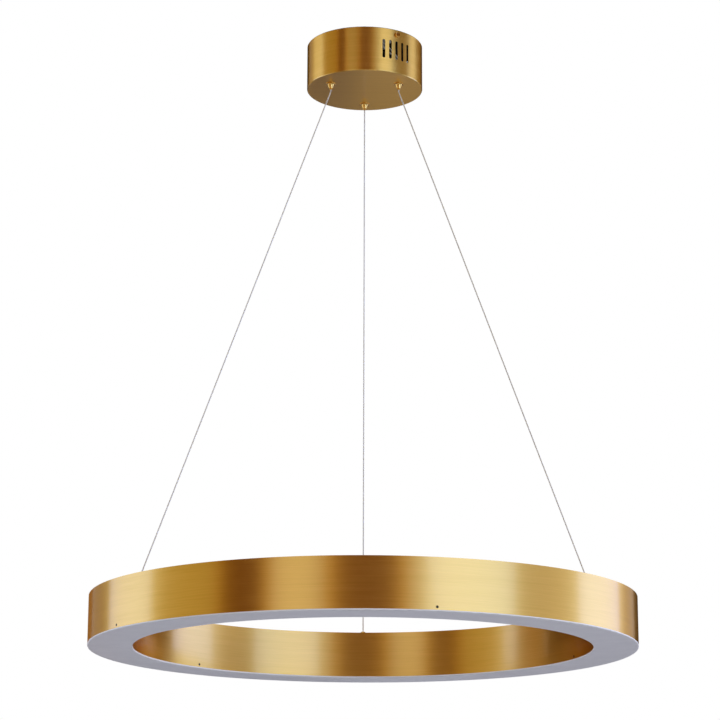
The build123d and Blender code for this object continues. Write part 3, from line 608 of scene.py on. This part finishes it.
def addCrossScrew(bm, direction, origin):
    before = set(bm.verts)
    arm, half = crossScrew["arm"], crossScrew["halfSlot"]
    # a grid of nine squares, with its inner lines drawn together, and its corners gone, is the cross
    cross = bmesh.ops.create_grid(bm, x_segments=3, y_segments=3, size=arm)["verts"]
    for vertex in cross:
        for axis in (0, 1):
            if abs(vertex.co[axis]) < arm / 2:
                vertex.co[axis] = half if vertex.co[axis] > 0 else -half
    faces = list({face for vertex in cross for face in vertex.link_faces})
    corners = [face for face in faces if min(abs(face.calc_center_median()[axis]) for axis in (0, 1)) > half]
    bmesh.ops.delete(bm, geom=corners, context="FACES")
    faces = [face for face in faces if face.is_valid]
    rim = [edge for edge in {edge for face in faces for edge in face.edges} if edge.is_boundary]
    # the cross is sunk and narrowed, and leaves its rim where it was
    sunk = bmesh.ops.extrude_face_region(bm, geom=faces, use_keep_orig=True)["geom"]
    bmesh.ops.delete(bm, geom=faces, context="FACES")
    floor = [item for item in sunk if isinstance(item, bmesh.types.BMVert)]
    taper = crossScrew["taper"]
    bmesh.ops.scale(bm, vec=(taper, taper, 1), verts=floor)
    bmesh.ops.translate(bm, vec=(0, 0, -crossScrew["recess"]), verts=floor)
    head, chamfer = crossScrew["headRadius"], crossScrew["edge"]
    core = crossScrew["radius"] - crossScrew["threadDepth"]
    neck, end = -crossScrew["headDepth"], -crossScrew["length"]
    shoulder = end + crossScrew["tip"]
    circle = bmesh.ops.create_circle(bm, segments=crossScrew["headSegments"], radius=head - chamfer)["verts"]
    top = list({edge for vertex in circle for edge in vertex.link_edges})
    loop = drawOut(bm, top, [
        (head, -chamfer), (core, neck), (core, shoulder), (crossScrew["tipShare"] * core, end)])
    bmesh.ops.edgeloop_fill(bm, edges=loop)
    bmesh.ops.bridge_loops(bm, edges=top + [edge for edge in rim if edge.is_valid])
    addThread(bm, crossScrew["radius"], crossScrew["threadDepth"], crossScrew["pitch"], shoulder, neck)
    placeAlong(bm, [vertex for vertex in bm.verts if vertex not in before], direction, origin)


def buildCrossScrews(row):
    place = crossScrew[row]
    bm = bmesh.new()
    for number in range(place["count"]):
        azimuth = place["first"] + 360 / place["count"] * number
        addCrossScrew(bm, fromAxis(azimuth, place["facing"], 0),
                      fromAxis(azimuth, place["radius"], crossScrew["level"]))
    addPiece(f"diffuserScrews_{row}", bm, "ring", "black_steel", [f"diffuser_screws_{row}"])


for row in ("outer", "inner"):
    buildCrossScrews(row)

# The suspension wires are six bright strands laid round a core. Each runs straight out of its gripper, bends,
# and straightens again into its anchor. The route is its distance from the lamp's axis and its height. In mm,
# apart from the points that a strand has in one turn of the lay, and the crease in degrees.
wire = {
    "azimuths": {"left": -60.0, "right": 60.0, "back": 180.0}, "radius": 1.0, "strands": 6, "lay": 13.0,
    "points": 10, "bevelSteps": 2, "weld": 0.0001, "crease": 80,
    "route": [(60.0, -46.0), (60.0, -79.8), (60.0, -82.8), (61.08, -85.6),
              (357.92, -853.7), (359.0, -856.5), (359.0, -859.5), (359.0, -870.25)],
}


def meshOf(curve):
    # the mesh that a curve makes, with the curve thrown away
    line = bpy.data.objects.new(curve.name, curve)
    mesh = bpy.data.meshes.new_from_object(line)
    bpy.data.objects.remove(line)
    return mesh


def wireLine():
    # the points of the route's smooth line, and how far along it each of them lies
    curve = bpy.data.curves.new("wireRoute", "CURVE")
    curve.dimensions = "3D"
    spline = curve.splines.new("NURBS")
    spline.points.add(len(wire["route"]) - 1)
    for point, (out, height) in zip(spline.points, wire["route"]):
        point.co = (out, 0, height, 1)
    spline.order_u = 3
    spline.use_endpoint_u = True
    points = [vertex.co.copy() for vertex in meshOf(curve).vertices]
    lengths = [0.0]
    for before, after in zip(points, points[1:]):
        lengths.append(lengths[-1] + (after - before).length)
    return points, lengths


def strandPoints(points, lengths, number):
    # the middle of one strand, which winds about the line: strands and core are equally thick, so three of
    # them lie across the wire
    steps = round(lengths[-1] / wire["lay"] * wire["points"])
    across = Vector((0, 1, 0))
    middles = []
    for step in range(steps + 1):
        distance = lengths[-1] * step / steps
        i = min(bisect_right(lengths, distance), len(points) - 1)
        share = (distance - lengths[i - 1]) / (lengths[i] - lengths[i - 1])
        run = points[i] - points[i - 1]
        side = run.normalized().cross(across)
        angle = 2 * pi * (distance / wire["lay"] + number / wire["strands"])
        out = (side * cos(angle) + across * sin(angle)) * wire["radius"] * 2 / 3
        middles.append(points[i - 1] + run * share + out)
    return middles


def buildWire(side, azimuth, line):
    curve = bpy.data.curves.new(f"wireRope_{side}", "CURVE")
    curve.dimensions = "3D"
    curve.bevel_depth = wire["radius"] / 3
    curve.bevel_resolution = wire["bevelSteps"]
    curve.use_fill_caps = True
    for number in range(wire["strands"]):
        middles = strandPoints(*line, number)
        spline = curve.splines.new("POLY")
        spline.points.add(len(middles) - 1)
        for point, middle in zip(spline.points, middles):
            point.co = (*middle, 1)
    bm = bmesh.new()
    bm.from_mesh(meshOf(curve))
    bmesh.ops.remove_doubles(bm, verts=bm.verts, dist=wire["weld"])
    # the route lies along X, which is an azimuth of 90
    turned = Matrix.Rotation(radians(azimuth - 90), 3, "Z")
    bmesh.ops.rotate(bm, cent=(0, 0, 0), matrix=turned, verts=bm.verts)
    addPiece(f"wireRope_{side}", bm, f"wire_{side}", "jacketed_wire", [f"suspension_wire_{side}"],
             crease=wire["crease"])


line = wireLine()
for side, azimuth in wire["azimuths"].items():
    buildWire(side, azimuth, line)

# Each gripper's coil keeps its shape from the CAD; the real coil shortens towards its seat as the plunger is
# pressed.
# In mm: how far it shortens, and how near its loose triangles' corners are when they are welded.
coil = {"travel": 1.5, "weld": 0.001}


def buildSpring(side):
    node = f"gripper_spring_{side}"
    bm = bmesh.new()
    bm.from_mesh(cadNodes[node].data)
    bmesh.ops.remove_doubles(bm, verts=bm.verts, dist=coil["weld"] * mm)
    bmesh.ops.scale(bm, vec=(1 / mm, 1 / mm, 1 / mm), verts=bm.verts)
    piece = addPiece(f"gripperCoil_{side}", bm, "canopy", "zinc_steel", [node])
    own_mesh(piece)


for side in wire["azimuths"]:
    buildSpring(side)
print("screws, wires and springs made")
